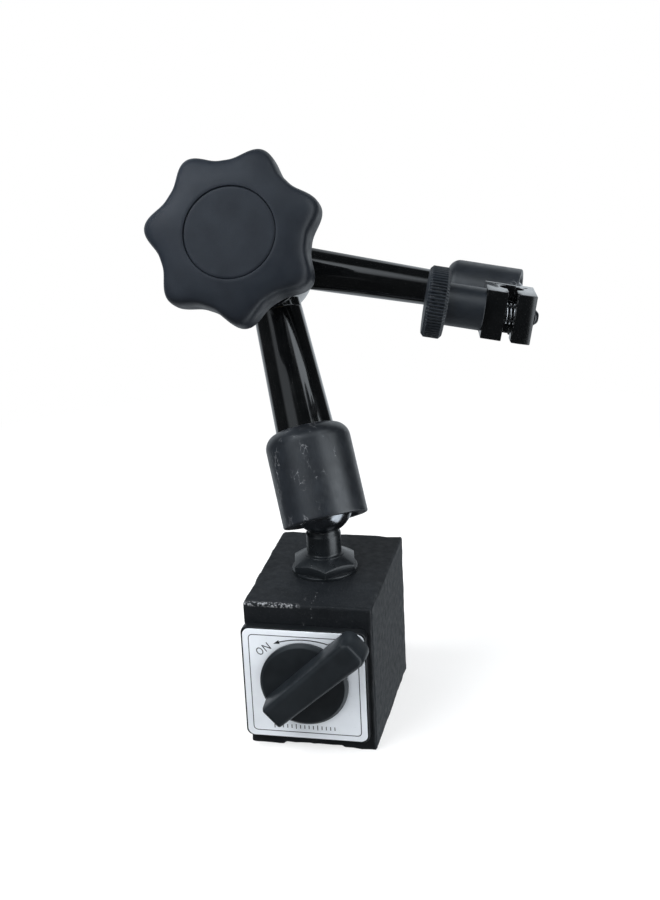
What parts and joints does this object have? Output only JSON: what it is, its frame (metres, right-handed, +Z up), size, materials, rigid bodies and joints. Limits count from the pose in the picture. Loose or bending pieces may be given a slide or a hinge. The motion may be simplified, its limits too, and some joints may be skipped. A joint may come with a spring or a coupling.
{
  "type": "magnetic base stand",
  "caption": "Switchable magnet block carrying a two-link, centrally locked articulated arm that ends in a small clamp for an indicator stem or dovetail.",
  "frame": {"origin": "centre of the magnet block's footprint, in the plane of its two ground feet", "axes": "+Z up, -Y towards the switch, +X to the right seen from the switch side"},
  "size_m": [0.1286, 0.0953, 0.2074],
  "materials": {
    "black_paint": "matte black paint, chipped to bare metal at the corners",
    "brass": "machined",
    "aluminium": "machined",
    "steel": "machined",
    "magnet": "ground",
    "cover_plastic": "moulded satin black",
    "label": "printed silver foil",
    "lever_plastic": "moulded satin black",
    "black_oxide": "black oxide, satin",
    "satin_black": "satin black oxide with fine scratches",
    "gloss_black": "high gloss black",
    "ball_steel": "hardened and polished",
    "knob_plastic": "fine moulded texture",
    "bright_spring": "bright zinc"
  },
  "bodies": {
    "base": {"left_pole": "black_paint", "right_pole": "black_paint", "upper_divider": "brass", "lower_divider": "brass", "front_bush": "aluminium", "stop_pin": "steel", "front_cover": "cover_plastic", "cover_screws": "steel", "switch_label": "label", "rear_plate": "cover_plastic", "rear_screws": "steel", "stud_washer": "black_oxide", "ball_stud": "black_oxide"},
    "switch": {"magnet_rotor": "magnet", "drive_shaft": "steel", "switch_lever": "lever_plastic"},
    "lower_swivel": {"lower_ball": "ball_steel"},
    "lower_arm": {"lower_cup": "satin_black", "lower_cup_ring": "satin_black", "lower_tube": "gloss_black", "lower_eye": "gloss_black", "elbow_bolt": "black_oxide"},
    "lower_thrust": {"lower_pad": "brass", "lower_rod": "steel"},
    "wedge": {"wedge_sleeve": "steel", "disc_spring": "steel"},
    "knob": {"star_knob": "knob_plastic", "knob_cap": "knob_plastic", "knob_insert": "brass"},
    "upper_arm": {"upper_eye": "gloss_black", "upper_tube": "gloss_black", "upper_cup": "satin_black", "upper_cup_ring": "satin_black", "friction_washer": "brass"},
    "upper_thrust": {"upper_pad": "brass", "upper_rod": "steel"},
    "upper_swivel": {"upper_ball": "ball_steel"},
    "head": {"head_stud": "black_oxide", "fixed_jaw": "gloss_black", "clamp_screw": "black_oxide", "clamp_spring": "bright_spring"},
    "jaw": {"moving_jaw": "gloss_black"},
    "nut": {"thumb_nut": "black_oxide"}
  },
  "joints": [
    {"name": "switch_turn", "type": "hinge", "parent": "base", "child": "switch", "pos_m": [-0.0011, 0, 0.0274], "axis": [0, -1, 0], "range_deg": [0, 90]},
    {"name": "lower_ball_spin", "type": "hinge", "parent": "base", "child": "lower_swivel", "pos_m": [0, 0, 0.0803], "axis": [0, 0, 1], "continuous": true},
    {"name": "lower_ball_tilt", "type": "hinge", "parent": "lower_swivel", "child": "lower_arm", "pos_m": [0, 0, 0.0803], "axis": [-0.8329, -0.5534, 0], "range_deg": [-62, 2]},
    {"name": "elbow_fold", "type": "hinge", "parent": "lower_arm", "child": "upper_arm", "pos_m": [-0.02379, 0.0358, 0.15386], "axis": [-0.0493, 0.8917, -0.4499], "range_deg": [-150, 35]},
    {"name": "knob_turn", "type": "hinge", "parent": "wedge", "child": "knob", "pos_m": [-0.02093, -0.01591, 0.17996], "axis": [0.0493, -0.8917, 0.4499], "range_deg": [-2, 362]},
    {"name": "wedge_slide", "type": "slide", "parent": "lower_arm", "child": "wedge", "axis": [0.0493, -0.8917, 0.4499], "range_m": [0, 0.0015]},
    {"name": "lower_rod_slide", "type": "slide", "parent": "lower_arm", "child": "lower_thrust", "axis": [-0.2792, 0.4202, 0.8634], "range_m": [-0.000005, 0.00023]},
    {"name": "upper_rod_slide", "type": "slide", "parent": "upper_arm", "child": "upper_thrust", "axis": [-0.9905, 0.0142, 0.1365], "range_m": [-0.000005, 0.00023]},
    {"name": "upper_ball_swing", "type": "hinge", "parent": "upper_arm", "child": "upper_swivel", "pos_m": [0.06178, 0.01872, 0.1502], "axis": [-0.1369, -0.1668, -0.9764], "range_deg": [-115, 8]},
    {"name": "upper_ball_spin", "type": "hinge", "parent": "upper_swivel", "child": "head", "pos_m": [0.06178, 0.01872, 0.1502], "axis": [0.1808, -0.9734, 0.1409], "continuous": true},
    {"name": "jaw_slide", "type": "slide", "parent": "head", "child": "jaw", "axis": [0.97, 0.1528, -0.1889], "range_m": [-0.004, 0.001], "deforming": ["clamp_spring"]},
    {"name": "nut_turn", "type": "hinge", "parent": "jaw", "child": "nut", "pos_m": [0.04879, -0.01809, 0.15956], "axis": [0.97, 0.1528, -0.1889], "range_deg": [-1805, 455]}
  ],
  "couplings": [
    {"joint": "knob_turn", "follows": "wedge_slide", "rad_per_m": 4188.8},
    {"joint": "lower_rod_slide", "follows": "wedge_slide", "ratio": 0.15},
    {"joint": "upper_rod_slide", "follows": "wedge_slide", "ratio": 0.15},
    {"joint": "nut_turn", "follows": "jaw_slide", "rad_per_m": 7854}
  ]
}
